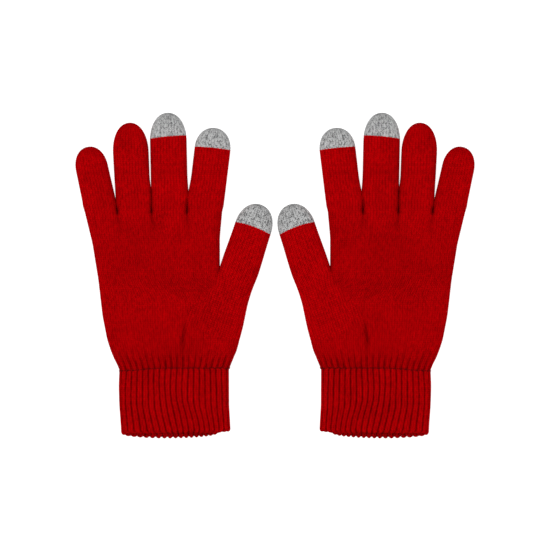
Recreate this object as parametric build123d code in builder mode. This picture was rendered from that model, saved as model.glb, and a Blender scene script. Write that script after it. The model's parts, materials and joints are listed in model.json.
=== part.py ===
"""A pair of knitted touchscreen gloves, lying palm up side by side with the thumbs towards each other.

Each glove is a flat, hollow knitted shell: a hand tube with a stub for every digit, four fingers and a
thumb that each fold at the root and at the middle, light conductive tips on the thumb, index and middle
finger, and a ribbed double cuff with elastic threads between its two layers.

Frame, in millimetres: +Z up from the resting surface, +Y from the cuffs to the fingertips, X across the
pair. The origin is on the resting surface at the middle of the pair's footprint. Palms face +Z, so the
glove on the -X side fits a right hand. It is modelled here, and the left-hand glove is its mirror image.
"""

import os
from dataclasses import dataclass
from math import atan2, cos, degrees, radians, sin

from build123d import *

# Driving dimensions
KNIT = 1.6  # wall of one knitted layer
GLOVE_HEIGHT = 10.0  # hand and digits, lying with their two layers held apart
EDGE_ROUND = 4.2  # rounding along the folded sides of the tubes
FOLD_GAP = 0.3  # between two segments that fold against each other
CUFF_SPACING = 141.4  # from one cuff's centre line to the other's
GLOVE_LENGTH = 227.5  # from the cuff's lower edge to the middle fingertip

CUFF_WIDTH = 77.0
CUFF_LENGTH = 48.3  # from the turned lower edge to the linking seam
CUFF_HEIGHT = 12.6
CUFF_ROUND = 6.0
MOUTH_STEP = 4.2  # the mouth's upper edge stops this far short of its lower one
ELASTIC_SPACE = 1.0  # between the cuff's two layers
ELASTIC_THREAD = 0.8  # diameter
ELASTIC_ROWS = 9
LINING_WALL = 1.2
SEAM_THREAD = 0.8  # diameter of the linking thread
THREAD_ROUND = 0.45  # rounding of a thread's section, as a share of its diameter
SEAM_SPACE = 0.9  # kept free for it round the ribs that it links
WRIST_LENGTH = 6.0  # single ribbed layer between the linking seam and the wrist fold
WRIST_WIDTH = 82.0  # at the wrist fold
WRIST_Y = CUFF_LENGTH + WRIST_LENGTH

RIB_WIDTH = CUFF_WIDTH - 2 * SEAM_SPACE  # at the linking seam
RIB_HEIGHT = GLOVE_HEIGHT - 2 * SEAM_SPACE
RIB_ROUND = RIB_HEIGHT / 2 - 0.1
LINING_INSET = KNIT + ELASTIC_SPACE  # from the cuff's outside to the lining's

# Places within a glove are measured from the middle of the cuff's lower edge.
GLOVE_ORIGIN = Vector(-CUFF_SPACING / 2, -GLOVE_LENGTH / 2, 0)
CROTCH_Y = 158.6  # where neighbouring fingers part
KNUCKLE_Y = 164.5  # the fold at the root of the four fingers
LITTLE_SIDE = ((-47.0, 73.0), (-52.7, 110.0), (-62.4, CROTCH_Y))  # the palm's outline beyond the wrist
THUMB_SIDE = ((47.9, 77.0), (50.6, 90.0), (33.0, 118.0), (33.8, CROTCH_Y))


@dataclass
class Digit:
    """One finger or the thumb, as it lies in its glove."""

    name: str
    root: tuple  # centre of the root fold
    lean: float  # degrees from +Y towards the thumb's side
    root_width: float  # where its stub leaves the palm
    width: float  # where the rounded tip begins
    length: float  # from the root fold to the end of the tip
    tip: float  # length of the rounded tip
    fold: float  # from the root fold to the middle fold
    cap: float = 0.0  # length of the conductive tip
    cap_lean: float = 0.0  # slant of the conductive tip's edge, as lean
    square_folds: bool = False  # folds square to the digit, and not parallel to the knuckles
    overlap: float = 10.0  # how far its stub runs back into the hand

    @property
    def plane(self):
        """The digit's own frame: its y axis runs along the digit, and z is up."""
        across = (cos(radians(self.lean)), -sin(radians(self.lean)), 0)
        return Plane(origin=GLOVE_ORIGIN + Vector(*self.root), x_dir=across, z_dir=(0, 0, 1))

    def section(self, distance, lean):
        """The plane across the digit at this distance from its root, facing the tip."""
        centre = self.plane.from_local_coords((0, distance, 0))
        return Plane(origin=centre, z_dir=(sin(radians(lean)), cos(radians(lean)), 0))

    def fold_plane(self, distance):
        """The plane of a fold. The fingers' folds are parallel, so that curled fingers never meet."""
        return self.section(distance, self.lean if self.square_folds else 0)

    @property
    def cap_plane(self):
        return self.section(self.length - self.cap, self.cap_lean)


DIGITS = [
    Digit("little", (-52.4, KNUCKLE_Y), -12.3, 22.2, 22.6, 39.4, 14.5, 17.0),
    Digit("ring", (-28.6, KNUCKLE_Y), -2.7, 23.4, 24.9, 55.5, 19.0, 24.0),
    Digit("middle", (-3.0, KNUCKLE_Y), -1.2, 24.0, 25.4, 63.0, 19.0, 27.0, cap=16.8, cap_lean=-5.4),
    Digit("index", (22.4, KNUCKLE_Y), 6.4, 24.4, 24.8, 52.8, 15.5, 22.0, cap=15.2, cap_lean=4.7),
    Digit("thumb", (45.9, 119.0), 18.0, 26.3, 26.0, 46.5, 15.8, 19.0, cap=15.6, cap_lean=19.9,
          square_folds=True, overlap=30.0),
]


def rounded_bar(plane, outline, inset, open_end):
    """A flat outline raised to the glove's height less two insets, rounded except along its open end."""
    with BuildPart() as bar:
        with BuildSketch(plane.offset(inset)):
            add(outline)
        extrude(amount=GLOVE_HEIGHT - 2 * inset)
        rims = bar.edges().group_by(Axis.Z)[0] + bar.edges().group_by(Axis.Z)[-1]
        open_face = bar.faces().sort_by(open_end)[0]
        fillet([edge for edge in rims if edge not in open_face.edges()], EDGE_ROUND - inset)
    return bar.part


def digit_bar(digit, inset):
    """A whole digit as a solid bar taken in by inset, run back past its root into the hand."""
    half_root, half = digit.root_width / 2 - inset, digit.width / 2 - inset
    shoulder, back = digit.length - digit.tip, -digit.overlap
    with BuildSketch() as outline:
        with BuildLine():
            Polyline((half, shoulder), (half_root, back), (-half_root, back), (-half, shoulder))
            EllipticalCenterArc((0, shoulder), half, digit.tip - inset, start_angle=0, arc_size=180)
        make_face()
    return rounded_bar(digit.plane, outline.sketch, inset, Axis.Y)


def digit_piece(digit, start=None, end=None):
    """The digit's knitted tube between two section planes, or on to its closed tip if end is None."""
    with BuildPart() as piece:
        add(digit_bar(digit, 0))
        add(digit_bar(digit, KNIT), mode=Mode.SUBTRACT)
        if start:
            split(bisect_by=start, keep=Keep.TOP)
        if end:
            split(bisect_by=end, keep=Keep.BOTTOM)
    return piece.part


def digit_base(digit):
    """From the root fold to the middle fold."""
    start, end = FOLD_GAP / 2, digit.fold - FOLD_GAP / 2
    return digit_piece(digit, digit.fold_plane(start), digit.fold_plane(end))


def digit_end(digit):
    """From the middle fold to the tip, or to the edge of the conductive tip."""
    return digit_piece(digit, digit.fold_plane(digit.fold + FOLD_GAP / 2), digit.cap_plane if digit.cap else None)


def conductive_tip(digit):
    return digit_piece(digit, digit.cap_plane)


def palm_bar(inset):
    """The hand without its stubs as a solid bar taken in by inset, open at the wrist."""
    wrist, crotch = WRIST_Y - inset, CROTCH_Y - inset
    thumb_side = [(WRIST_WIDTH / 2 - inset, wrist)] + [(x - inset, min(y, crotch)) for x, y in THUMB_SIDE]
    little_side = [(inset - WRIST_WIDTH / 2, wrist)] + [(x + inset, min(y, crotch)) for x, y in LITTLE_SIDE]
    with BuildSketch() as outline:
        with BuildLine():
            Polyline(*thumb_side, *reversed(little_side), close=True)
        make_face()
    return rounded_bar(Plane(GLOVE_ORIGIN), outline.sketch, inset, Axis.Y)


def hand():
    """The palm's tube and a stub for each digit, open at the wrist and at every root fold."""
    with BuildPart() as shell:
        for inset, mode in ((0, Mode.ADD), (KNIT, Mode.SUBTRACT)):
            add(palm_bar(inset), mode=mode)
            for digit in DIGITS:
                stub = split(digit_bar(digit, inset), digit.fold_plane(-FOLD_GAP / 2), Keep.BOTTOM, mode=Mode.PRIVATE)
                add(stub, mode=mode)
        split(bisect_by=across_cuff(WRIST_Y + FOLD_GAP / 2), keep=Keep.TOP)
    return shell.part


def across_cuff(distance, height=0.0, slant=0.0):
    """The plane across the cuff at this distance from its lower edge, facing the fingers."""
    rise = radians(slant)
    return Plane(origin=GLOVE_ORIGIN + Vector(0, distance, height), x_dir=(1, 0, 0), z_dir=(0, cos(rise), -sin(rise)))


MOUTH = across_cuff(0, slant=degrees(atan2(MOUTH_STEP, CUFF_HEIGHT)))


def cuff_bar(inset):
    """The cuff as a solid bar taken in by inset, longer than the cuff at the mouth."""
    with BuildPart() as bar:
        with BuildSketch(across_cuff(-MOUTH_STEP, CUFF_HEIGHT / 2)):
            RectangleRounded(CUFF_WIDTH - 2 * inset, CUFF_HEIGHT - 2 * inset, CUFF_ROUND - inset)
        extrude(amount=CUFF_LENGTH + MOUTH_STEP)
    return bar.part


def cuff_band():
    """The outer ribbed layer, with the edge that it turns inwards round the mouth."""
    with BuildPart() as cavity:
        add(cuff_bar(KNIT))
        split(bisect_by=MOUTH.offset(KNIT), keep=Keep.TOP)
    with BuildPart() as band:
        add(cuff_bar(0))
        add(cavity.part, mode=Mode.SUBTRACT)
        add(cuff_bar(LINING_INSET), mode=Mode.SUBTRACT)
        split(bisect_by=MOUTH, keep=Keep.TOP)
    return band.part


def cuff_lining():
    """The inner ribbed layer."""
    with BuildPart() as lining:
        add(cuff_bar(LINING_INSET))
        add(cuff_bar(LINING_INSET + LINING_WALL), mode=Mode.SUBTRACT)
        split(bisect_by=MOUTH, keep=Keep.TOP)
    return lining.part


def thread_ring(distance, height, width, depth, rounding, thread):
    """A closed ring of thread lying across the cuff, on a path of this width, depth and corner rounding."""
    with BuildPart() as ring:
        with BuildSketch(across_cuff(distance - thread / 2, height)):
            RectangleRounded(width + thread, depth + thread, rounding + thread / 2)
            RectangleRounded(width - thread, depth - thread, rounding - thread / 2, mode=Mode.SUBTRACT)
        extrude(amount=thread)
        fillet(ring.edges().filter_by(Axis.Y, reverse=True), thread * THREAD_ROUND)
    return ring.part


def elastic_threads():
    """The rows of covered elastic laid in between the cuff's two layers."""
    inset = KNIT + ELASTIC_SPACE / 2
    first, last = MOUTH_STEP + 2 * KNIT, CUFF_LENGTH - KNIT
    with BuildPart() as threads:
        for row in range(ELASTIC_ROWS):
            distance = first + (last - first) * row / (ELASTIC_ROWS - 1)
            width, depth, rounding = CUFF_WIDTH - 2 * inset, CUFF_HEIGHT - 2 * inset, CUFF_ROUND - inset
            add(thread_ring(distance, CUFF_HEIGHT / 2, width, depth, rounding, ELASTIC_THREAD))
    return threads.part


def linking_seam():
    """The thread that links the cuff's end to the hand's ribs, lying round them on the cuff's end."""
    width, depth = CUFF_WIDTH, RIB_HEIGHT + SEAM_SPACE
    distance = CUFF_LENGTH + SEAM_SPACE / 2
    return thread_ring(distance, GLOVE_HEIGHT / 2, width, depth, RIB_ROUND + SEAM_SPACE / 2, SEAM_THREAD)


def wrist_rib():
    """The single ribbed layer between the linking seam and the wrist fold, widening into the hand."""
    top = WRIST_Y - FOLD_GAP / 2
    with BuildPart() as rib:
        for inset, mode in ((0, Mode.ADD), (KNIT, Mode.SUBTRACT)):
            for distance, width in ((CUFF_LENGTH, RIB_WIDTH), (top, WRIST_WIDTH - 2 * SEAM_SPACE)):
                with BuildSketch(across_cuff(distance, GLOVE_HEIGHT / 2)):
                    RectangleRounded(width - 2 * inset, RIB_HEIGHT - 2 * inset, RIB_ROUND - inset)
            loft(mode=mode)
    return rib.part


def glove_pieces():
    """Every piece of the right-hand glove, by name."""
    pieces = {
        "hand": hand(),
        "wrist_rib": wrist_rib(),
        "cuff_band": cuff_band(),
        "cuff_lining": cuff_lining(),
        "cuff_elastic": elastic_threads(),
        "linking_seam": linking_seam(),
    }
    for digit in DIGITS:
        pieces[digit.name + "_base"] = digit_base(digit)
        pieces[digit.name + "_end"] = digit_end(digit)
        if digit.cap:
            pieces[digit.name + "_tip"] = conductive_tip(digit)
    return pieces


os.makedirs("parts", exist_ok=True)
for piece_name, right_piece in glove_pieces().items():
    for side, piece in (("right", right_piece), ("left", mirror(right_piece, about=Plane.YZ))):
        piece.label = f"{side}_{piece_name}"
        export_step(piece, f"parts/{piece.label}.step")
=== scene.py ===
"""Looks of a pair of knitted touchscreen gloves, lying palm up on a pale floor.

Every piece is made for the right-hand glove and mirrored for the left-hand one. Lengths are in
millimetres until a mesh is made. "Along" means from a digit's root to its tip, "across" is square to
that, and a section is a closed loop round a tube that runs over the palm's side from -X to +X and back
along the underside.
"""

import json
from dataclasses import dataclass

import bpy
import numpy as np
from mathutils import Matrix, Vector


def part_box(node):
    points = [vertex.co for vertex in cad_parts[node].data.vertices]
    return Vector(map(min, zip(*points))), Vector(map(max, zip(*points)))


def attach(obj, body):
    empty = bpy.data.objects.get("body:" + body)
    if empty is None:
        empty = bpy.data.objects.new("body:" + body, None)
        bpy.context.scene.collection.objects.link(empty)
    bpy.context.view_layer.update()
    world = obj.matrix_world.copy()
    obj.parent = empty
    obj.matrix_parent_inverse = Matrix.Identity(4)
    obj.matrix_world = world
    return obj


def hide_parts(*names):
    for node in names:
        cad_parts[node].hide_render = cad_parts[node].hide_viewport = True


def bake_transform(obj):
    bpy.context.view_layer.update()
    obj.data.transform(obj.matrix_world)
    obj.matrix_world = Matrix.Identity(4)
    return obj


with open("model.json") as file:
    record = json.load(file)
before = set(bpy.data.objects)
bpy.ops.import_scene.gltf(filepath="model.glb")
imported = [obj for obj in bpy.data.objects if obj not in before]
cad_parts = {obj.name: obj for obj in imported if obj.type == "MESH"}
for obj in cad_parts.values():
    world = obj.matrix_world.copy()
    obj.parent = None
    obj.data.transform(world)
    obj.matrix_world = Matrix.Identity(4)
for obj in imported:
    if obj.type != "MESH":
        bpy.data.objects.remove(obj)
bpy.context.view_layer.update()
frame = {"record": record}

MM = 0.001
JOINTS = {joint["name"]: joint for joint in frame["record"]["behaviour"]["joints"]}

# The knitting
COURSE = 1.48  # height of one row of stitches
SECTION_COLUMNS = 30  # mesh columns across one face of a digit, two to a wale
ROW_STEP = COURSE / 2
WALE_RELIEF = 0.07  # how far a wale stands proud of the valley beside it, halved
COURSE_RELIEF = 0.09
RIB_COUNT = 42  # round the whole cuff
RIB_RELIEF = 0.36
RIB_SHARPNESS = 2.6  # the higher, the narrower the grooves between ribs
GUSSET_WALE = 1.9  # width of a wale in the thumb's gusset

# The tubes
FLOOR_GAP = 0.4  # between the knitting and the floor
HAND_HEIGHT = 9.7
SIDE_ROUND = 5.5  # width of the rounding down each side of a tube
CROWN = 0.7  # how much higher a tube is in its middle than where its sides begin to round
BELLY = 0.42  # height of a tube's side fold, as a share of the tube's height
GATHER_REACH = 22.0  # below the crotches, where the wales begin to draw together into fingers
PART_REACH = 5.0  # below the crotches, where the tube begins to part into fingers
GATHER_Y = 8.0  # from the wrist fold to where the hand's own mesh begins
FOLD_REACH = 6.0  # how far a bend spreads to each side of its fold
SEAM_DROP = 1.9  # of the linking seam at the little finger's side
SEAM_DROP_REACH = 16.0
SEAM_THINNING_TOP = 0.5  # how much thinner the hand's tube is beside the linking seam
SEAM_THINNING_UNDER = 0.9
SEAM_THINNING_REACH = 12
SEAM_LAP = 1.5  # how far the hand's tube reaches into the cuff
GUSSET_START = -66.0  # along the thumb from its root fold, where the knitting that leads to it begins
GUSSET_RISE = -46.0  # there it has come up from inside the hand's tube
GUSSET_RISE_REACH = 18
GUSSET_SINK = 1.4  # how much lower its upper side is at its start than further on
GUSSET_LIFT = 0.6  # how much higher its underside is there
GUSSET_TUCK = 2.4  # how far its outer edge is drawn in there
GUSSET_PROUD = 0.12  # how far it then stands above the hand
GUSSET_LAP = 3.2  # how far it reaches over the crease at its start
GUSSET_LAP_LOSS = 2.7  # how much less that is near the thumb
THUMB_REACH = 16  # before the root fold, where the hand's outline gives way to the thumb's own
CREASE_DEPTH = 1.9
CREASE_WIDTH = 1.7
CROTCH_LAP = 0.5  # how far neighbouring fingers press into each other just above a crotch
CAP_JAG = 0.45  # how far the conductive tip's edge steps to and fro from stitch to stitch
CAP_BOW_REACH = 8.0  # how far along the digit that edge's bow can be seen in the courses beside it
TIP_POWER = 2.15  # of the blunt ellipse in which a digit's outline ends
TIP_SWELL_POWER = 2.6  # the higher, the longer a digit stays full before its tip thins out
TIP_SWELL_ROOT = 2.2
FLARE_REACH = 20.0  # from a digit's root to where its flare has run out
FINGER_REACH = 9.0  # from the crotches to where a finger has its own width and lean


def glove_box(node):
    """The lowest and highest corner of a node of the right-hand glove, in millimetres."""
    low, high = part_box("right_" + node)
    return np.array(low) / MM, np.array(high) / MM


def joint_place(name):
    return np.array(JOINTS["right_" + name]["pos_m"]) / MM


CUFF_LOW, CUFF_HIGH = glove_box("cuff_band")
CUFF_MIDDLE = (CUFF_LOW[0] + CUFF_HIGH[0]) / 2
SEAM_Y = CUFF_HIGH[1]  # the linking seam
WRIST_Y = joint_place("wrist_bend")[1]
KNUCKLE_Y = joint_place("index_root_bend")[1]
CROTCH_Y = KNUCKLE_Y - 6.3  # where neighbouring fingers part

# Edges of the hand, as distances from the cuff's centre line at heights above the cuff's lower edge.
LITTLE_EDGE = ((47.5, -37.8), (51.8, -39.4), (56.0, -42.0), (60.2, -43.6), (68.6, -46.4), (85.4, -49.7),
               (110.6, -52.6), (135.8, -56.7), (158.2, -62.2))
THUMB_EDGE = ((47.5, 38.4), (51.8, 40.0), (56.0, 41.9), (60.2, 43.8), (77.0, 48.3), (93.8, 51.8),
              (110.6, 57.0), (118.0, 59.6))
INDEX_EDGE = ((100.0, 32.6), (118.0, 32.2), (140.0, 32.2), (158.2, 33.9))
CROTCHES = (-39.4, -15.4, 9.3)  # between the little, ring, middle and index fingers
CROTCH_SHADES = (1.0, 13.0, 6.0)  # how far the dark line between two fingers runs up from each of them
CROTCH_SHADE_WIDTH = 0.9
GUSSET_SHADE = 0.9
GUSSET_SHADE_WIDTH = 1.0
# Where the thumb's knitting meets the palm's, as distances from the centre line and heights, in that order.
CREASE = ((6.0, 58.0), (6.6, 70.0), (8.6, 82.0), (16.0, 95.0), (31.8, 116.8))
CUFF_LEFT = ((-3.0, -36.4), (4.0, -36.7), (20.0, -37.7), (35.0, -38.2), (49.0, -37.8))
CUFF_RIGHT = ((-3.0, 39.7), (4.0, 39.3), (20.0, 38.6), (49.0, 38.5))


@dataclass
class Digit:
    """A finger or the thumb. Its root fold and middle fold come from the frame's joints."""

    name: str
    lean: float  # degrees from +Y towards the thumb's side
    length: float  # from the root fold to the tip
    root_width: float
    width: float
    tip: float  # length of the rounded tip
    cap: float = 0.0  # length of the conductive tip
    cap_lean: float = 0.0  # slant of the conductive tip's edge
    cap_bow: float = 0.0  # how far the middle of that edge runs ahead of its ends
    square_rows: bool = False  # courses square to the digit, and not parallel to the knuckles
    shift: float = 0.0  # how far the knitting's middle lies beside the joint, towards the thumb's side
    flare: tuple = (0.0, 0.0)  # how much further each side stands out at the root

    @property
    def root(self):
        return joint_place(self.name + "_root_bend")[:2] + self.across * self.shift

    @property
    def fold(self):
        return (joint_place(self.name + "_middle_bend")[:2] - self.root) @ self.along

    @property
    def along(self):
        angle = np.radians(self.lean)
        return np.array((np.sin(angle), np.cos(angle)))

    @property
    def across(self):
        return np.array((self.along[1], -self.along[0]))

    def half_width(self, distance):
        """Half the digit's width, which runs out in a blunt ellipse at the tip."""
        shoulder = self.length - self.tip
        share = smooth(distance / shoulder)
        half = (self.root_width + (self.width - self.root_width) * share) / 2
        past = np.clip((distance - shoulder) / self.tip, 0, 1)
        return half * (1 - past ** TIP_POWER) ** (1 / TIP_POWER)

    def row_slope(self, distance):
        """How far a course runs ahead along the digit for each millimetre across it."""
        start = 0 if not self.square_rows else self.lean
        cap_start = self.length - self.cap if self.cap else self.length
        to_cap = smooth((distance - self.fold) / (cap_start - self.fold))
        row_lean = start + ((self.cap_lean if self.cap else self.lean) - start) * to_cap
        if self.cap:
            row_lean += (self.lean - row_lean) * smooth((distance - cap_start) / self.cap)
        return np.tan(np.radians(self.lean - row_lean))

    def edge_points(self, distance):
        """Where the course at this distance meets the digit's two sides, seen from above."""
        slope = self.row_slope(distance)
        ends = []
        for side in (-1, 1):
            half = self.half_width(distance)
            for _ in range(6):
                half = self.half_width(distance + side * slope * half)
            half += self.flare[side > 0] * (1 - smooth(distance / FLARE_REACH))
            ends.append(self.root + self.along * (distance + side * slope * half) + self.across * side * half)
        return ends


DIGITS = (
    Digit("little", -12.3, 39.4, 23.0, 22.6, 15.6, shift=0.5, flare=(0.0, 0.1)),
    Digit("ring", -2.7, 55.5, 24.3, 24.9, 21.0, shift=0.3, flare=(0.0, 1.5)),
    Digit("middle", -1.2, 62.4, 25.7, 25.6, 20.0, cap=16.8, cap_lean=-5.4, cap_bow=0.4, shift=0.15,
          flare=(0.2, 0.8)),
    Digit("index", 6.8, 52.2, 25.0, 25.2, 15.6, cap=15.0, cap_lean=5.5, cap_bow=0.4, shift=0.25,
          flare=(1.2, 0.0)),
    Digit("thumb", 18.2, 46.2, 27.4, 26.2, 17.5, cap=17.8, cap_lean=19.9, cap_bow=1.2, square_rows=True,
          shift=0.4),
)
FINGERS = DIGITS[:4]
THUMB = DIGITS[4]


def smooth(value):
    """0 below 0, 1 above 1, and a smooth step between."""
    value = np.clip(value, 0, 1)
    return value * value * (3 - 2 * value)


def curve(points, reach=9.0):
    """A smooth function through, or close to, points given as (place, value)."""
    places, values = np.array(points, dtype=float).T
    step = 0.25
    fine = np.arange(places[0] - 4 * reach, places[-1] + 4 * reach, step)
    line = np.interp(fine, places, values)
    first_slope = (values[1] - values[0]) / (places[1] - places[0])
    last_slope = (values[-1] - values[-2]) / (places[-1] - places[-2])
    line += np.minimum(fine - places[0], 0) * first_slope + np.maximum(fine - places[-1], 0) * last_slope
    kernel = np.hanning(int(reach / step) | 1)
    rounded = np.convolve(line, kernel / kernel.sum(), mode="same")
    return lambda place: np.interp(place, fine, rounded)


little_edge = curve(LITTLE_EDGE)
thumb_edge = curve(THUMB_EDGE)
index_edge = curve(INDEX_EDGE)
cuff_left = curve(CUFF_LEFT)
cuff_right = curve(CUFF_RIGHT)


def face_profile(width, height, columns, side_round=SIDE_ROUND):
    """Places across one face of a tube, 0 to 1 and evenly spread over its surface, and their lift, 0 to 1."""
    half = width / 2
    place = half * np.sin(np.linspace(-np.pi / 2, np.pi / 2, 161))
    inward = np.clip((half - np.abs(place)) / min(side_round, half), 0, 1)
    crown = min(CROWN / height, 0.5)
    lift = np.sqrt(1 - (1 - inward) ** 2) * (1 - crown) + crown * (1 - (place / half) ** 2)
    steps = np.hypot(np.diff(place), np.diff(lift) * height * (1 - BELLY))
    surface = np.concatenate(([0], np.cumsum(steps)))
    even = np.linspace(0, surface[-1], columns + 1)
    return np.interp(even, surface, place) / width + 0.5, np.interp(even, surface, lift)


def section(left, right, share, lift, bow=0.0, low=FLOOR_GAP, high=HAND_HEIGHT, swell=1.0):
    """A tube's section over the line from left to right: the top face's points, then the underside's."""
    left, right = np.asarray(left), np.asarray(right)
    line = left + (right - left) * share[:, None]
    ahead = np.array((-(right - left)[1], (right - left)[0])) / max(np.linalg.norm(right - left), 1e-6)
    line = line + ahead * (bow * (1 - (2 * share - 1) ** 2))[:, None]
    middle = low + BELLY * (high - low)
    top = middle + lift * (high - middle) * swell
    under = middle - np.minimum(lift * 1.15, 1) * (middle - low) * swell
    upper = np.column_stack((line, top))
    lower = np.column_stack((line, under))[-2:0:-1]
    return np.concatenate((upper, lower))


def normals_of(grid):
    """Outward directions of a grid of closed sections."""
    round_it = np.roll(grid, -1, axis=1) - np.roll(grid, 1, axis=1)
    along_it = np.gradient(grid, axis=0)
    normal = np.cross(round_it, along_it)
    return normal / np.maximum(np.linalg.norm(normal, axis=2, keepdims=True), 1e-9)


def add_knit_relief(grid, rib=None, wale_share=None):
    """Raises the wales and courses of a grid whose columns and rows come two to a stitch.

    rib is how far each row is ribbed, and wale_share how far its columns are wales, 0 to 1.
    """
    rows, columns = grid.shape[:2]
    wale = np.where(np.arange(columns) % 2 == 1, 1.0, -1.0)[None, :]
    course = np.where(np.arange(rows) % 2 == 1, 1.0, -1.0)[:, None]
    if wale_share is not None:
        wale = wale * wale_share[:, None]
    relief = WALE_RELIEF * wale + COURSE_RELIEF * course
    if rib is not None:
        relief = relief * (1 - rib[:, None]) + rib[:, None] * RIB_RELIEF * rib_profile(columns)[None, :]
    return grid + normals_of(grid) * relief[:, :, None]


def rib_profile(columns):
    """Height of the ribbing round a section of this many columns, from -1 in a groove to 1 on a rib."""
    turn = np.arange(columns) / columns * RIB_COUNT
    return 1 - 2 * np.abs(np.cos(np.pi * turn)) ** RIB_SHARPNESS


class Patch:
    """Part of a glove's surface: points, four-sided faces, and each face corner's place in the knitting and
    its painted shade.
    """

    def __init__(self, name, material, grid, row_places, wale_places=0.5, ribs=0.0, painted_shade=0.0, tip=None):
        """wale_places and ribs are the wales and ribs to a column, or every column's place among them.

        The argument before tip is the painted shade: how much darker the colour is painted in the grooves
        between the ribs and in the creases, for the patch, every row or every point.
        """
        rows, columns = grid.shape[:2]
        self.name, self.material = name, material
        self.points = grid.reshape(-1, 3)
        i, j = np.meshgrid(np.arange(rows - 1), np.arange(columns), indexing="ij")
        after = (j + 1) % columns
        self.faces = np.stack((i * columns + j, i * columns + after, (i + 1) * columns + after,
                               (i + 1) * columns + j), axis=-1).reshape(-1, 4)
        counted = np.arange(columns + 1)[None, :]
        wales = counted * wale_places if np.isscalar(wale_places) else wale_places
        self.knit = self.corner_places(np.broadcast_to(wales, (rows, columns + 1)),
                                       np.broadcast_to(row_places[:, None], (rows, columns + 1)))
        painted_shades = np.broadcast_to(painted_shade, (rows, columns))
        # The rib map holds each corner's place among the ribs and how much shade is painted there.
        self.rib = self.corner_places(counted * np.broadcast_to(np.reshape(ribs, (-1, 1)), (rows, 1)),
                                      np.column_stack((painted_shades, painted_shades[:, 0])))
        if tip is not None:
            self.close_tip(grid, tip)

    @staticmethod
    def corner_places(across, up):
        """The four corners' (across, up) for every face between neighbouring columns and rows."""
        corners = ((slice(None, -1), slice(None, -1)), (slice(None, -1), slice(1, None)),
                   (slice(1, None), slice(1, None)), (slice(1, None), slice(None, -1)))
        return np.stack([np.stack((across[c], up[c]), axis=-1) for c in corners], axis=2).reshape(-1, 4, 2)

    def close_tip(self, grid, tip):
        """Closes the last section with triangles, kept as faces with a doubled corner until made."""
        rows, columns = grid.shape[:2]
        last = (rows - 1) * columns + np.arange(columns)
        centre = np.full(columns, len(self.points))
        self.points = np.vstack((self.points, tip))
        self.faces = np.vstack((self.faces, np.stack((last, np.roll(last, -1), centre, centre), axis=-1)))
        for name in ("knit", "rib"):
            places = getattr(self, name)
            beside = places[-columns:, [3, 2, 2, 2]].copy()
            beside[:, 2:, 0] = beside[:, :2, 0].mean(axis=1, keepdims=True)
            setattr(self, name, np.vstack((places, beside)))


def digit_rows(digit, first):
    """Distances of a digit's courses, even up to where the tip begins and closer together round it."""
    shoulder = digit.length - digit.tip
    straight = np.linspace(first, shoulder, int(round((shoulder - first) / ROW_STEP)) + 1)
    turns = np.linspace(0, 0.97, int(round(digit.tip * 1.25 / ROW_STEP)))[1:]
    return np.concatenate((straight, shoulder + digit.tip * np.sin(turns * np.pi / 2)))


def tip_swell(digit, distance):
    """How full the digit's section is, which falls away round the tip."""
    past = np.clip((distance - (digit.length - digit.tip)) / digit.tip, 0, 1)
    return (1 - past ** TIP_SWELL_POWER) ** (1 / TIP_SWELL_ROOT)


def cap_row(digit, distances):
    """The course where the conductive tip begins."""
    return int(np.argmin(np.abs(distances - (digit.length - digit.cap))))


def cap_bow(digit, distance):
    if not digit.cap:
        return 0.0
    return digit.cap_bow * np.exp(-((distance - digit.length + digit.cap) / CAP_BOW_REACH) ** 2)


def finger_grid(digit, left_end, right_end):
    """A finger from the line between the crotches beside it, given by that line's two ends, to the tip."""
    first = (CROTCH_Y - digit.root[1]) / digit.along[1]
    distances = digit_rows(digit, first)
    rows = []
    for distance in distances:
        share = smooth((distance - first) / FINGER_REACH)
        ends = []
        lap = CROTCH_LAP * 4 * share * (1 - share) * digit.across
        for side, crotch, edge in zip((-1, 1), (left_end, right_end), digit.edge_points(distance)):
            from_crotch = np.array((crotch, CROTCH_Y)) + digit.along * (distance - first) + side * lap
            ends.append(from_crotch * (1 - share) + edge * share)
        width = np.linalg.norm(ends[1] - ends[0])
        profile = face_profile(width, HAND_HEIGHT, SECTION_COLUMNS)
        rows.append(section(*ends, *profile, bow=cap_bow(digit, distance), swell=tip_swell(digit, distance)))
    return distances, np.array(rows)


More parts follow.
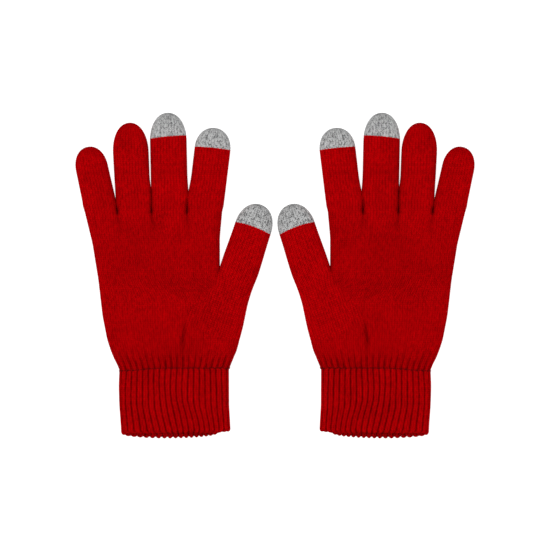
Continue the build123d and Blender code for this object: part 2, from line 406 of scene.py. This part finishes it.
def palm_grid(crotches):
    """The hand's tube from inside the cuff to the line of the crotches, where its sections part into four."""
    left, right = little_edge_at(CROTCH_Y), index_edge_at(CROTCH_Y)
    ends = (left, *crotches, right)
    parted_share, parted_lift = [], []
    for start, end in zip(ends[:-1], ends[1:]):
        share, lift = face_profile(end - start, HAND_HEIGHT, SECTION_COLUMNS)
        skip = 1 if parted_share else 0
        parted_share.extend(((start + share * (end - start) - left) / (right - left))[skip:])
        parted_lift.extend(lift[skip:])
    parted_share, parted_lift = np.array(parted_share), np.array(parted_lift)
    columns = SECTION_COLUMNS * len(FINGERS)
    first = SEAM_Y - SEAM_LAP
    heights = np.linspace(first, CROTCH_Y, int(round((CROTCH_Y - first) / ROW_STEP)) + 1)
    rows = []
    for height in heights:
        drop = SEAM_DROP * (1 - smooth((height - SEAM_Y) / SEAM_DROP_REACH))
        start, end = little_edge_at(height - drop), palm_right_edge(height)
        wide_share, wide_lift = face_profile(end - start, HAND_HEIGHT, columns)
        gather = smooth((height - CROTCH_Y + GATHER_REACH) / GATHER_REACH)
        part = smooth((height - CROTCH_Y + PART_REACH) / PART_REACH) ** 2
        share = wide_share * (1 - gather) + parted_share * gather
        lift = wide_lift * (1 - part) + parted_lift * part
        places = start + share * (end - start)
        beside_seam = 1 - smooth((height - SEAM_Y) / SEAM_THINNING_REACH)
        high = HAND_HEIGHT - SEAM_THINNING_TOP * beside_seam
        low = FLOOR_GAP + SEAM_THINNING_UNDER * beside_seam
        row = section((start, height), (end, height), share, lift, low=low, high=high)
        dip = crease_dip(places, height)
        row[:columns + 1, 2] -= dip
        row[:, 1] -= seam_drop(row[:, 0]) * (1 - smooth((height - SEAM_Y) / SEAM_DROP_REACH))
        rows.append(row)
    return heights, np.array(rows)


def local(x):
    """From a distance from the cuff's centre line to the frame's X."""
    return x + CUFF_MIDDLE


def above_cuff(y):
    """From the frame's Y to a height above the cuff's lower edge."""
    return y - CUFF_LOW[1]


def little_edge_at(y):
    return local(little_edge(above_cuff(y)))


def index_edge_at(y):
    return local(index_edge(above_cuff(y)))


def palm_right_edge(y):
    """The palm tube's edge on the thumb's side, just inside the thumb's knitting where that covers it."""
    height = above_cuff(y)
    covered = 1.6 * smooth((height - 66) / 12)
    outer = thumb_edge(height) - covered
    share = smooth((height - 92) / 22)
    return local(outer * (1 - share) + index_edge(height) * share)


def seam_drop(places):
    """How far the linking seam drops below a straight line, towards the little finger's side."""
    return SEAM_DROP * (1 - smooth((places - CUFF_MIDDLE + 36) / 30))


def crease_dip(places, y):
    """How far the palm sinks near the line where the thumb's knitting meets it."""
    height = above_cuff(y)
    points = np.array(CREASE)
    if not points[0][1] - 4 < height < points[-1][1] + 6:
        return np.zeros(len(places))
    line = local(np.interp(height, points[:, 1], points[:, 0]))
    ends = smooth((height - points[0][1] + 4) / 8)
    deep = CREASE_DEPTH * ends * (1 - smooth((height - 84) / 14)) + 0.2
    return deep * np.exp(-((places - line - 0.3) / CREASE_WIDTH) ** 2)


def thumb_grid():
    """The thumb and the knitting that leads to it, from beside the wrist to the tip."""
    first = GUSSET_START
    distances = digit_rows(THUMB, first)
    seam = np.array([(local(x), y + CUFF_LOW[1]) for x, y in CREASE]) - THUMB.root
    outer = np.array([(local(thumb_edge(y)), y + CUFF_LOW[1]) for y in np.arange(50.0, 122.0, 2.0)])
    outer -= THUMB.root

    def side_at(edge, distance):
        return np.interp(distance, edge @ THUMB.along, edge @ THUMB.across)

    rows = []
    for distance in distances:
        share = smooth((distance + THUMB_REACH) / THUMB_REACH)
        sunk = smooth((GUSSET_RISE - distance) / GUSSET_RISE_REACH)
        lap = GUSSET_LAP - GUSSET_LAP_LOSS * smooth((distance + 30) / 20)
        edges = THUMB.edge_points(distance)
        centre = THUMB.root + THUMB.along * distance
        hand_left = centre + THUMB.across * (side_at(seam, distance) - lap)
        hand_right = centre + THUMB.across * (side_at(outer, distance) - GUSSET_TUCK * sunk)
        ends = (hand_left * (1 - share) + edges[0] * share, hand_right * (1 - share) + edges[1] * share)
        width = np.linalg.norm(ends[1] - ends[0])
        profile = face_profile(width, HAND_HEIGHT, SECTION_COLUMNS)
        high = HAND_HEIGHT + GUSSET_PROUD - GUSSET_SINK * sunk
        low = FLOOR_GAP + GUSSET_LIFT * sunk
        rows.append(section(*ends, *profile, bow=cap_bow(THUMB, distance), low=low, high=high,
                            swell=tip_swell(THUMB, distance)))
    return distances, np.array(rows)


# The cuff
RIB_COLUMNS = 6  # mesh columns to a rib
WALES_PER_RIB = 2
CUFF_COLUMNS = RIB_COUNT * RIB_COLUMNS
CUFF_TOP = 12.2  # height of its upper side, which falls towards the linking seam
CUFF_SEAM_TOP = 10.6
CUFF_FALL_START = 22  # height above the cuff's lower edge from which the upper side falls
CUFF_FALL_REACH = 26
CUFF_SIDE_ROUND = 6.0
LAYER_INSET = 2.6  # from the outer ribs to the lining's
MOUTH_STEP = 4.3  # the mouth's upper edge stops short of its lower one
MOUTH_EDGE = LAYER_INSET / 2  # radius of the turned edge
MOUTH_TURNS = 6
MOUTH_REACH = 30  # how far up from the mouth its bow can be seen in the rows
MOUTH_BOW_CENTRE = -4.0  # of the lower edge's bow, from the cuff's centre line
MOUTH_BOW_HALF = 36
MOUTH_CORNER_LIFT = 1.0  # of the edge at the thumb's side
MOUTH_CORNER_START = 26  # from the centre line
MOUTH_CORNER_REACH = 13
MOUTH_WAVE = 0.4  # half of how far the ribs' ends stand out beyond the grooves at the edge
MOUTH_WAVE_REACH = 5
RIB_DRIFT = 4.2  # how far the ribs wander towards the thumb's side on their way to the mouth
DRIFT_START = 28  # height below which they wander
DRIFT_REACH = 34
RIB_WAVE = 0.35
ELASTIC_RINGS = 9
ELASTIC_THREAD = 0.8
ELASTIC_SIDES = 6


def cuff_section(height, inset):
    """A section of the cuff's tube, taken in by inset; height is above the cuff's lower edge."""
    top = CUFF_TOP + (CUFF_SEAM_TOP - CUFF_TOP) * smooth((height - CUFF_FALL_START) / CUFF_FALL_REACH)
    left, right = local(cuff_left(height)) + inset, local(cuff_right(height)) - inset
    low, high = FLOOR_GAP + RIB_RELIEF + inset, top - RIB_RELIEF - inset
    share, lift = face_profile(right - left, high - low, CUFF_COLUMNS // 2,
                               side_round=CUFF_SIDE_ROUND - inset * 0.8)
    drift = RIB_DRIFT * smooth((DRIFT_START - height) / DRIFT_REACH)
    drift = drift + RIB_WAVE * np.sin(height / 5.5 + 9 * share)
    drifted = share + drift / (right - left) * np.sin(np.pi * share) ** 1.5
    lift = np.interp(drifted, share, lift)
    return section((left, 0), (right, 0), drifted, lift, low=low, high=high)


def cuff_row(height, inset, turned=0.0):
    """A row of the cuff. Near the mouth the upper side is drawn back, and the lower one bows out."""
    row = cuff_section(height, inset)
    aside = np.clip((row[:, 0] - CUFF_MIDDLE - MOUTH_BOW_CENTRE) / MOUTH_BOW_HALF, -1, 1)
    bow = (1 - aside ** 2) ** 0.5 * (1 - np.clip((row[:, 2] - 2) / (CUFF_TOP - 4), 0, 1))
    near_mouth = 1 - smooth(height / MOUTH_REACH)
    row[:, 1] = CUFF_LOW[1] + height + MOUTH_STEP * (1 - bow) * near_mouth + MOUTH_EDGE - turned
    at_corner = smooth((row[:, 0] - CUFF_MIDDLE - MOUTH_CORNER_START) / MOUTH_CORNER_REACH)
    row[:, 1] += MOUTH_CORNER_LIFT * near_mouth * at_corner
    row[:, 1] -= seam_drop(row[:, 0]) * smooth((height - 36) / 11)
    row[:, 1] -= MOUTH_WAVE * rib_profile(CUFF_COLUMNS) * (1 - smooth(height / MOUTH_WAVE_REACH))
    return row


def cuff_grids():
    """The cuff's outer layer with half of the turned edge, and its lining with the other half."""
    length = SEAM_Y - CUFF_LOW[1] - MOUTH_EDGE
    heights = np.linspace(0, length, int(round(length / ROW_STEP)) + 1)
    outer = [cuff_row(height, 0.0) for height in heights[::-1]]
    closing = [cuff_row(length + 0.25 * step, 0.45 * step) for step in (3, 2, 1)]
    turns = np.linspace(0, np.pi, MOUTH_TURNS * 2 + 1)[1:-1]
    edge = [cuff_row(0, MOUTH_EDGE * (1 - np.cos(turn)), MOUTH_EDGE * np.sin(turn)) for turn in turns]
    lining = [cuff_row(height, LAYER_INSET) for height in heights]
    rows = np.array(closing + outer + edge + lining)
    inside = smooth((np.arange(len(rows)) - len(closing) - len(outer)) / MOUTH_TURNS)
    relief = RIB_RELIEF * rib_profile(CUFF_COLUMNS)[None, :] * (1 - 0.35 * inside)[:, None]
    rows = rows - normals_of(rows) * relief[:, :, None]
    split = len(closing) + len(outer) + MOUTH_TURNS
    return rows[:split][::-1], rows[split - 1:][::-1]


def elastic_rings():
    """The elastic threads between the cuff's two layers, as closed rings: points, faces and knit places."""
    first, last = MOUTH_EDGE * 2, SEAM_Y - CUFF_LOW[1] - MOUTH_EDGE - 3
    turns = np.linspace(0, 2 * np.pi, ELASTIC_SIDES, endpoint=False)
    rings = []
    for height in np.linspace(first, last, ELASTIC_RINGS):
        path = cuff_row(height, LAYER_INSET / 2)
        outwards = np.cross(np.roll(path, -1, axis=0) - np.roll(path, 1, axis=0), (0, 1, 0))
        outwards /= np.linalg.norm(outwards, axis=1, keepdims=True)
        rings.append([path + ELASTIC_THREAD / 2 * (outwards * np.cos(turn) + np.array((0, np.sin(turn), 0)))
                      for turn in turns])
    return [np.array(ring + ring[:1]) for ring in rings]


LINK_COUNT = 84
LINK_LENGTH = 2.3
LINK_THREAD = 1.15
LINK_SIDES = 8
LINK_STEPS = 7


def linking_stitches(palm):
    """The row of linking stitches round the cuff's end, as one grid for each short fat loop of thread."""
    draws = np.random.default_rng(7)
    ring = palm[2]
    ring = np.concatenate((ring, ring[:1]))
    travelled = np.concatenate(([0], np.cumsum(np.linalg.norm(np.diff(ring, axis=0), axis=1))))

    def place_at(travel):
        return np.array([np.interp(travel % travelled[-1], travelled, ring[:, axis]) for axis in range(3)])

    around = np.linspace(0, 2 * np.pi, LINK_SIDES, endpoint=False)[None, :]
    length = np.linspace(-1, 1, LINK_STEPS)[:, None]
    girth = LINK_THREAD / 2 * np.sqrt(np.clip(1 - (length * 0.96) ** 2, 0, 1))
    grids = []
    for centre in np.linspace(0, travelled[-1], LINK_COUNT, endpoint=False):
        place = place_at(centre)
        run = (place_at(centre + 0.5) - place) * (1, 0, 1)
        run /= np.linalg.norm(run)
        out = np.array((-run[2], 0, run[0]))
        slanted = run + np.array((0, draws.uniform(0.1, 0.5), 0))
        reach = LINK_LENGTH / 2 * draws.uniform(0.55, 1.05)
        grid = (place + out * draws.uniform(0.05, 0.5) + slanted * (length * reach)[..., None]
                + out * (girth * np.cos(around))[..., None]
                - np.array((0, 1, 0)) * (girth * np.sin(around))[..., None])
        grid[..., 1] += SEAM_Y + 0.55 - ring[:, 1].max() + draws.uniform(-0.2, 0.2)
        grid[..., 2] = np.maximum(grid[..., 2], FLOOR_GAP)
        grids.append(grid)
    return grids


def gathered(name, material, grids):
    """One patch of many separate tubes."""
    parts = [Patch(name, material, grid, row_places=np.arange(len(grid)) / 8) for grid in grids]
    whole, counted = parts[0], 0
    faces = []
    for part in parts:
        faces.append(part.faces + counted)
        counted += len(part.points)
    whole.faces = np.vstack(faces)
    whole.points = np.vstack([part.points for part in parts])
    whole.knit = np.vstack([part.knit for part in parts])
    whole.rib = np.vstack([part.rib for part in parts])
    return whole


def glove_patches():
    """Every visible piece of the right-hand glove: (patch, how it moves, node that it stands for, slot)."""
    pieces = []
    crotches = [local(x) for x in CROTCHES]
    heights, palm = palm_grid(crotches)
    rib = 1 - smooth((heights - SEAM_Y - 4) / 11)
    shaped_palm = add_knit_relief(palm, rib)
    places = (heights - SEAM_Y) / COURSE
    split = int(np.argmin(np.abs(heights - WRIST_Y - GATHER_Y)))
    ribs = RIB_COUNT / palm.shape[1]
    # Painted shade: the grooves between the ribs where the wrist is ribbed, and the creases above.
    shade = np.where(rib[:, None] > 0, rib[:, None], crease_shade(palm))
    ribs = np.where(rib > 0, ribs, 0)
    wrist = Patch("wrist_rib_knit", "red", shaped_palm[:split + 1], places[:split + 1],
                  ribs=ribs[:split + 1], painted_shade=shade[:split + 1])
    hand = Patch("hand_knit", "red", shaped_palm[split:], places[split:],
                 ribs=ribs[split:], painted_shade=shade[split:])
    reach = np.array((0, GATHER_Y - 2.5))
    fold = np.array((CUFF_MIDDLE, WRIST_Y))
    pieces.append((wrist, ("cuff", "hand", fold - reach * 0.75, fold + reach), "wrist_rib", "red_knit"))
    pieces.append((hand, ("hand",), "hand", "red_knit"))
    ends = (little_edge_at(CROTCH_Y), *crotches, index_edge_at(CROTCH_Y))
    for number, digit in enumerate(DIGITS):
        wale_share = None
        if digit is THUMB:
            distances, grid = thumb_grid()
            wale_share = smooth((distances + 13) / 6)
        else:
            distances, grid = finger_grid(digit, ends[number], ends[number + 1])
        shaped = add_knit_relief(grid, wale_share=wale_share)
        if digit is not THUMB:
            shaped[0] = palm_section(shaped_palm[-1], number)
        middle = grid[:, SECTION_COLUMNS // 2, :2]
        places = np.concatenate(([0], np.cumsum(np.linalg.norm(np.diff(middle, axis=0), axis=1)))) / COURSE
        pieces += digit_pieces(digit, distances, shaped, places, wale_share)
    outer, lining = cuff_grids()
    for node, grid in (("cuff_band", outer), ("cuff_lining", lining)):
        row_places = np.arange(len(grid)) * ROW_STEP / COURSE
        # Painted shade in the cuff's grooves between the ribs, at full strength.
        patch = Patch(node + "_knit", "red", grid, row_places, wale_places=WALES_PER_RIB / RIB_COLUMNS,
                      ribs=1 / RIB_COLUMNS, painted_shade=1.0)
        pieces.append((patch, ("cuff",), node, "red_knit"))
    links = gathered("linking_seam_thread", "thread", linking_stitches(palm))
    pieces.append((links, ("cuff",), "linking_seam", "seam_thread"))
    elastic = gathered("cuff_elastic_thread", "elastic", elastic_rings())
    pieces.append((elastic, ("cuff",), "cuff_elastic", "elastic"))
    return pieces


def crease_shade(grid):
    """How dark every point is from lying in a crease: between two fingers, or where the gusset begins."""
    x, y, z = np.moveaxis(grid, -1, 0)
    heights = above_cuff(y)
    shade = np.zeros(x.shape)
    for crotch, reach in zip(CROTCHES, CROTCH_SHADES):
        below = smooth((heights - above_cuff(CROTCH_Y) + 4) / 4)
        above = 1 - smooth((heights - above_cuff(CROTCH_Y) - reach) / 5)
        near = np.exp(-((x - local(crotch)) / CROTCH_SHADE_WIDTH) ** 2)
        shade = np.maximum(shade, near * below * above)
    line = local(np.interp(heights, np.array(CREASE)[:, 1], np.array(CREASE)[:, 0]))
    along = smooth((heights - 54) / 8) * (1 - smooth((heights - 74) / 12))
    gusset = GUSSET_SHADE * np.exp(-((x - line) / GUSSET_SHADE_WIDTH) ** 2) * along
    return np.maximum(shade, gusset) * (z > HAND_HEIGHT * BELLY)


def palm_section(row, number):
    """The points of the palm's last section that belong to one finger, as that finger's first section."""
    columns = SECTION_COLUMNS * len(FINGERS)
    start = number * SECTION_COLUMNS
    top = np.arange(start, start + SECTION_COLUMNS + 1)
    under = (2 * columns - np.arange(start + 1, start + SECTION_COLUMNS)[::-1]) % (2 * columns)
    return row[np.concatenate((top, under))]


def gusset_wales(grid, wale_share):
    """The place of every column among the thumb's wales, which keep their width where the knitting widens."""
    columns = grid.shape[1]
    counted = np.broadcast_to(np.arange(columns + 1) / 2.0, (len(grid), columns + 1))
    across = (grid[..., :2] - THUMB.root) @ THUMB.across
    top = across[:, :SECTION_COLUMNS + 1] / GUSSET_WALE + SECTION_COLUMNS / 4
    side = across[:, SECTION_COLUMNS:SECTION_COLUMNS + 1]
    under = top[:, -1:] + (side - across[:, SECTION_COLUMNS + 1:]) / GUSSET_WALE
    wrapped = top[:, -1:] + (side - across[:, :1]) / GUSSET_WALE
    measured = np.concatenate((top, under, wrapped), axis=1)
    share = wale_share[:, None]
    return measured * (1 - share) + counted * share


def digit_pieces(digit, distances, grid, places, wale_share):
    """A digit's mesh: the part round the root fold, the part round the middle fold, and the cap."""
    name = digit.name
    tip = np.array((*(digit.root + digit.along * digit.length), HAND_HEIGHT * BELLY))
    body_split = int(np.argmin(np.abs(distances - digit.fold / 2)))
    cap = cap_row(digit, distances) if digit.cap else None
    if digit.cap:
        grid[cap, 1::2, :2] += digit.along * CAP_JAG
    wales = 0.5
    pieces = []
    first = 0
    if digit is THUMB:
        first = int(np.argmin(np.abs(distances + FOLD_REACH + 1)))
        wales = gusset_wales(grid, wale_share)
        # Painted shade along the crease where the gusset begins.
        leading = Patch("thumb_gusset_knit", "red", grid[:first + 1], places[:first + 1],
                        wale_places=wales[:first + 1], painted_shade=crease_shade(grid[:first + 1]))
        pieces.append((leading, ("hand",), None, "red_knit"))
    root, fold = digit.root, digit.root + digit.along * digit.fold
    reach = (digit.along if digit.square_rows else np.array((0, 1))) * FOLD_REACH
    # Painted shade in the creases between the fingers; none on the thumb's base.
    base = Patch(name + "_base_knit", "red", grid[first:body_split + 1], places[first:body_split + 1],
                 painted_shade=0.0 if digit is THUMB else crease_shade(grid[first:body_split + 1]))
    pieces.append((base, ("hand", name + "_base", root - reach, root + reach), name + "_base", "red_knit"))
    last = cap if digit.cap else len(grid)
    end = Patch(name + "_end_knit", "red", grid[body_split:last + 1], places[body_split:last + 1],
                tip=None if digit.cap else tip)
    bend = (name + "_base", name + "_end", fold - reach, fold + reach)
    pieces.append((end, bend, name + "_end", "red_knit"))
    if digit.cap:
        tip_patch = Patch(name + "_tip_knit", "grey", grid[cap:], places[cap:], tip=tip)
        pieces.append((tip_patch, (name + "_end",), name + "_tip", "conductive_knit"))
    return pieces


def shared_normals(patches):
    """A direction for every point, the same for points of different patches that lie in one place."""
    total = {}
    per_patch = []
    for patch in patches:
        corners = patch.points[patch.faces]
        face = np.cross(corners[:, 2] - corners[:, 0], corners[:, 3] - corners[:, 1])
        summed = np.zeros_like(patch.points)
        for corner in range(4):
            np.add.at(summed, patch.faces[:, corner], face)
        keys = [tuple(key) for key in np.round(patch.points, 3)]
        per_patch.append((keys, summed))
        for key, vector in zip(keys, summed):
            total[key] = total.get(key, 0) + vector
    for patch, (keys, _) in zip(patches, per_patch):
        normal = np.array([total[key] for key in keys])
        patch.normals = normal / np.maximum(np.linalg.norm(normal, axis=1, keepdims=True), 1e-9)


def make_object(patch, name, material, mirrored):
    """A Blender object of a patch, mirrored for the left-hand glove."""
    flip = np.array((-1, 1, 1)) if mirrored else np.array((1, 1, 1))
    points, normals = patch.points * flip * MM, patch.normals * flip
    faces, places = patch.faces, np.concatenate((patch.knit, patch.rib), axis=2)
    if mirrored:
        faces, places = faces[:, ::-1], places[:, ::-1]
    polygons, kept = [], []
    for face, corners in zip(faces.tolist(), places):
        seen = []
        for corner, place in zip(face, corners):
            if corner not in seen:
                seen.append(corner)
                kept.append(place)
        polygons.append(seen)
    kept = np.array(kept, dtype=np.float32)
    mesh = bpy.data.meshes.new(name)
    mesh.from_pydata(points.tolist(), [], polygons)
    # The rib map also carries how much shade is painted into the colour.
    for layer, columns in (("knit", slice(0, 2)), ("rib", slice(2, 4))):
        mesh.uv_layers.new(name=layer).data.foreach_set("uv", kept[:, columns].ravel())
    mesh.polygons.foreach_set("use_smooth", np.ones(len(polygons), dtype=bool))
    mesh.normals_split_custom_set_from_vertices(normals.tolist())
    mesh.materials.append(material)
    obj = bpy.data.objects.new(mesh.name, mesh)
    bpy.context.scene.collection.objects.link(obj)
    return obj


def build_gloves(materials):
    pieces = glove_patches()
    shared_normals([piece[0] for piece in pieces])
    for side in ("right", "left"):
        for patch, motion, node, slot in pieces:
            obj = make_object(patch, f"{side}_{patch.name}", materials[patch.material], side == "left")
            bodies = [f"{side}_{body}" for body in motion if isinstance(body, str)]
            if len(bodies) == 1:
                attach(obj, bodies[0])
            else:
                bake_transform(obj)
            if node:
                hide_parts(f"{side}_{node}")


class Nodes:
    """A material's node tree, with short ways to add what the knitted materials need."""

    def __init__(self, name):
        self.material = bpy.data.materials.new(name)
        self.material.use_nodes = True
        self.tree = self.material.node_tree
        self.shader = self.tree.nodes["Principled BSDF"]

    def add(self, kind, **settings):
        node = self.tree.nodes.new(kind)
        for key, value in settings.items():
            setattr(node, key, value)
        return node

    def link(self, source, target):
        self.tree.links.new(source, target)

    def math(self, operation, first, second=None, third=None, clamp=False):
        node = self.add("ShaderNodeMath", operation=operation, use_clamp=clamp)
        for socket, value in zip(node.inputs, (first, second, third)):
            if value is None:
                continue
            if isinstance(value, (int, float)):
                socket.default_value = value
            else:
                self.link(value, socket)
        return node.outputs[0]

    def noise(self, vector, scale, detail=2.0, roughness=0.5):
        node = self.add("ShaderNodeTexNoise")
        self.link(vector, node.inputs["Vector"])
        node.inputs["Scale"].default_value = scale
        node.inputs["Detail"].default_value = detail
        node.inputs["Roughness"].default_value = roughness
        return node.outputs["Fac"]

    def ramp(self, factor, *stops):
        node = self.add("ShaderNodeValToRGB")
        elements = node.color_ramp.elements
        while len(elements) < len(stops):
            elements.new(0.5)
        for element, (place, colour) in zip(elements, stops):
            element.position = place
            element.color = (*colour, 1)
        self.link(factor, node.inputs["Fac"])
        return node.outputs["Color"]


# The knitted material
V_SLANT = 0.8  # how far a stitch's legs rise from its middle to its sides, in courses
VALLEY_DEPTH = 0.85  # between two wales
SPINE_DEPTH = 0.45  # down the middle of a wale
SPINE_SHARPNESS = 3.5
GAP_DEPTH = 0.85  # between two courses
KNIT_DEPTH = 0.0006  # metres between a stitch's top and the gap beside it
GROOVE_SHADE = 0.36  # how much darker the colour is painted deep in the grooves between ribs and in the creases, as painted shade
FIBRE_SHADE = 0.30


def from_half(nodes, value):
    """How far a value's fraction is from a half, from 0 there to 1 at a whole number."""
    offset = nodes.math("SUBTRACT", nodes.math("FRACT", value), 0.5)
    return nodes.math("MULTIPLY", nodes.math("ABSOLUTE", offset), 2)


def knit_height(nodes, place):
    """The height of plain knitting, 0 to 1: columns of V-shaped stitches, one to each unit both ways.

    Also gives the place among the wales, and the place among the courses along a stitch's slanting legs.
    """
    parts = nodes.add("ShaderNodeSeparateXYZ")
    nodes.link(place, parts.inputs[0])
    wale, course = parts.outputs[0], parts.outputs[1]
    from_middle = from_half(nodes, wale)
    slanted = nodes.math("SUBTRACT", course, nodes.math("MULTIPLY", from_middle, V_SLANT))
    from_stitch = from_half(nodes, slanted)
    beside_wale = nodes.math("POWER", from_middle, 3)
    valley = nodes.math("SUBTRACT", 1, nodes.math("MULTIPLY", VALLEY_DEPTH, beside_wale))
    beside_spine = nodes.math("MINIMUM", 1, nodes.math("MULTIPLY", from_middle, SPINE_SHARPNESS))
    on_spine = nodes.math("SUBTRACT", 1, beside_spine)
    spine = nodes.math("SUBTRACT", 1, nodes.math("MULTIPLY", SPINE_DEPTH, on_spine))
    gap = nodes.math("SUBTRACT", 1, nodes.math("MULTIPLY", GAP_DEPTH, nodes.math("POWER", from_stitch, 3)))
    height = nodes.math("MULTIPLY", nodes.math("MULTIPLY", valley, spine), gap)
    return height, wale, slanted


def knit_material(name, dark, light, heather=0.0, depth=KNIT_DEPTH):
    """Plain-knitted yarn whose colour runs from dark in the gaps to light on the stitches, as painted shade.
    """
    nodes = Nodes(name)
    uv = nodes.add("ShaderNodeUVMap", uv_map="knit")
    object_place = nodes.add("ShaderNodeTexCoord").outputs["Object"]
    height, wale, slanted = knit_height(nodes, uv.outputs["UV"])
    fibres = nodes.noise(object_place, 2600, detail=3, roughness=0.7)
    patches = nodes.noise(object_place, 60, detail=2)
    # Painted shade: the grooves between the ribs and the creases are painted darker, by the share that the
    # rib map carries
    ribs = nodes.add("ShaderNodeSeparateXYZ")
    nodes.link(nodes.add("ShaderNodeUVMap", uv_map="rib").outputs["UV"], ribs.inputs[0])
    in_groove = nodes.math("ABSOLUTE", nodes.math("COSINE", nodes.math("MULTIPLY", ribs.outputs[0], np.pi)))
    uneven = nodes.math("ADD", 0.4, nodes.math("MULTIPLY", nodes.noise(object_place, 240, detail=2), 1.2))
    groove_shade_mask = nodes.math("MULTIPLY", nodes.math("POWER", in_groove, 6), ribs.outputs[1])
    painted_groove_shade = nodes.math("MULTIPLY", groove_shade_mask, uneven)
    cells = nodes.add("ShaderNodeCombineXYZ")
    nodes.link(nodes.math("FLOOR", nodes.math("MULTIPLY", wale, 2)), cells.inputs[0])
    nodes.link(nodes.math("FLOOR", nodes.math("MULTIPLY", slanted, 1 + heather)), cells.inputs[1])
    each_leg = nodes.add("ShaderNodeTexWhiteNoise", noise_dimensions="3D")
    nodes.link(cells.outputs[0], each_leg.inputs["Vector"])
    streaks = nodes.noise(object_place, 1100, detail=2)
    # Painted shade: the colour follows the stitches' height, darker in the gaps and in the valleys between
    # the wales.
    shade = nodes.math("MULTIPLY", height, 0.62 + 0.3 * heather)
    shade = nodes.math("ADD", shade, nodes.math("MULTIPLY", fibres, FIBRE_SHADE))
    patchy = 0.26 * (1 - heather)
    shade = nodes.math("ADD", shade, nodes.math("MULTIPLY", nodes.math("SUBTRACT", patches, 0.5), patchy))
    leg_share = 0.27 + 0.8 * heather
    legs = nodes.math("SUBTRACT", each_leg.outputs["Value"], 0.5)
    shade = nodes.math("ADD", shade, nodes.math("MULTIPLY", legs, leg_share))
    if heather:
        streaky = nodes.math("SUBTRACT", streaks, 0.5)
        shade = nodes.math("ADD", shade, nodes.math("MULTIPLY", streaky, 1.3 * heather))
    # the painted shade of the grooves and creases darkens the colour here
    shade = nodes.math("SUBTRACT", shade, nodes.math("MULTIPLY", painted_groove_shade, GROOVE_SHADE))
    nodes.link(nodes.ramp(shade, (0.0, dark), (0.9, light)), nodes.shader.inputs["Base Color"])
    bump = nodes.add("ShaderNodeBump")
    bump.inputs["Strength"].default_value = 1.0
    bump.inputs["Distance"].default_value = depth
    nodes.link(nodes.math("ADD", height, nodes.math("MULTIPLY", fibres, 0.25)), bump.inputs["Height"])
    nodes.link(bump.outputs["Normal"], nodes.shader.inputs["Normal"])
    nodes.shader.inputs["Roughness"].default_value = 0.95
    nodes.shader.inputs["Specular IOR Level"].default_value = 0.0
    nodes.shader.inputs["Sheen Weight"].default_value = 0.12
    nodes.shader.inputs["Sheen Roughness"].default_value = 0.5
    nodes.shader.inputs["Sheen Tint"].default_value = (*light, 1)
    return nodes.material


def yarn_material(name, dark, light):
    """Tight thread or elastic, with its ply showing as fine slanting bands."""
    nodes = Nodes(name)
    place = nodes.add("ShaderNodeTexCoord").outputs["Object"]
    wave = nodes.add("ShaderNodeTexWave", wave_type="BANDS", bands_direction="DIAGONAL")
    nodes.link(place, wave.inputs["Vector"])
    wave.inputs["Scale"].default_value = 900
    wave.inputs["Distortion"].default_value = 2
    fibres = nodes.noise(place, 2400, detail=3)
    bands = nodes.math("MULTIPLY", wave.outputs["Fac"], 0.6)
    shade = nodes.math("ADD", bands, nodes.math("MULTIPLY", fibres, 0.4))
    nodes.link(nodes.ramp(shade, (0.1, dark), (0.9, light)), nodes.shader.inputs["Base Color"])
    bump = nodes.add("ShaderNodeBump")
    bump.inputs["Distance"].default_value = 0.0002
    nodes.link(shade, bump.inputs["Height"])
    nodes.link(bump.outputs["Normal"], nodes.shader.inputs["Normal"])
    nodes.shader.inputs["Roughness"].default_value = 0.9
    nodes.shader.inputs["Specular IOR Level"].default_value = 0.06
    return nodes.material


def make_materials():
    return {
        "red": knit_material("red knit", (0.10, 0.0001, 0.0004), (0.69, 0.0004, 0.0024)),
        "grey": knit_material("conductive knit", (0.03, 0.03, 0.031), (0.62, 0.62, 0.62), heather=1.0),
        "thread": yarn_material("linking thread", (0.03, 0.0001, 0.0002), (0.17, 0.0004, 0.001)),
        "elastic": yarn_material("covered elastic", (0.05, 0.0002, 0.0004), (0.25, 0.001, 0.002)),
    }


# The stage
FRAME_WIDTH = 0.385  # metres of floor across the picture
CAMERA_HEIGHT = 1.6
SENSOR = 36.0
FLOOR_GLOW = 0.9  # makes the floor as white as paper
SKY_STRENGTH = 0.72
LAMPS = (("key", (-0.7, 0.8, 1.5), 1.4, 14), ("fill", (0.9, -0.5, 1.3), 1.4, 5))  # place, size and watts


def build_stage():
    scene = bpy.context.scene
    scene.view_settings.view_transform = "Standard"
    bpy.ops.mesh.primitive_plane_add(size=6, location=(0, 0, 0))
    floor = bpy.context.object
    floor.name = "floor"
    paper = Nodes("white paper")
    paper.shader.inputs["Base Color"].default_value = (0.35, 0.35, 0.35, 1)
    paper.shader.inputs["Roughness"].default_value = 0.9
    paper.shader.inputs["Specular IOR Level"].default_value = 0.0
    paper.shader.inputs["Emission Color"].default_value = (1, 1, 1, 1)
    paper.shader.inputs["Emission Strength"].default_value = FLOOR_GLOW
    floor.data.materials.append(paper.material)

    world = bpy.data.worlds.new("studio")
    scene.world = world
    world.use_nodes = True
    world.node_tree.nodes["Background"].inputs["Color"].default_value = (1, 1, 1, 1)
    world.node_tree.nodes["Background"].inputs["Strength"].default_value = SKY_STRENGTH

    for name, place, size, power in LAMPS:
        light = bpy.data.lights.new(name, "AREA")
        light.size = size
        light.energy = power
        lamp = bpy.data.objects.new(name, light)
        lamp.location = place
        lamp.rotation_euler = (-Vector(place)).to_track_quat("-Z", "Y").to_euler()
        scene.collection.objects.link(lamp)

    camera_data = bpy.data.cameras.new("camera")
    camera_data.sensor_width = SENSOR
    camera_data.lens = SENSOR * CAMERA_HEIGHT / FRAME_WIDTH
    camera = bpy.data.objects.new("camera", camera_data)
    camera.location = (0, 0, CAMERA_HEIGHT)
    scene.collection.objects.link(camera)
    scene.camera = camera


all_materials = make_materials()
build_stage()
build_gloves(all_materials)
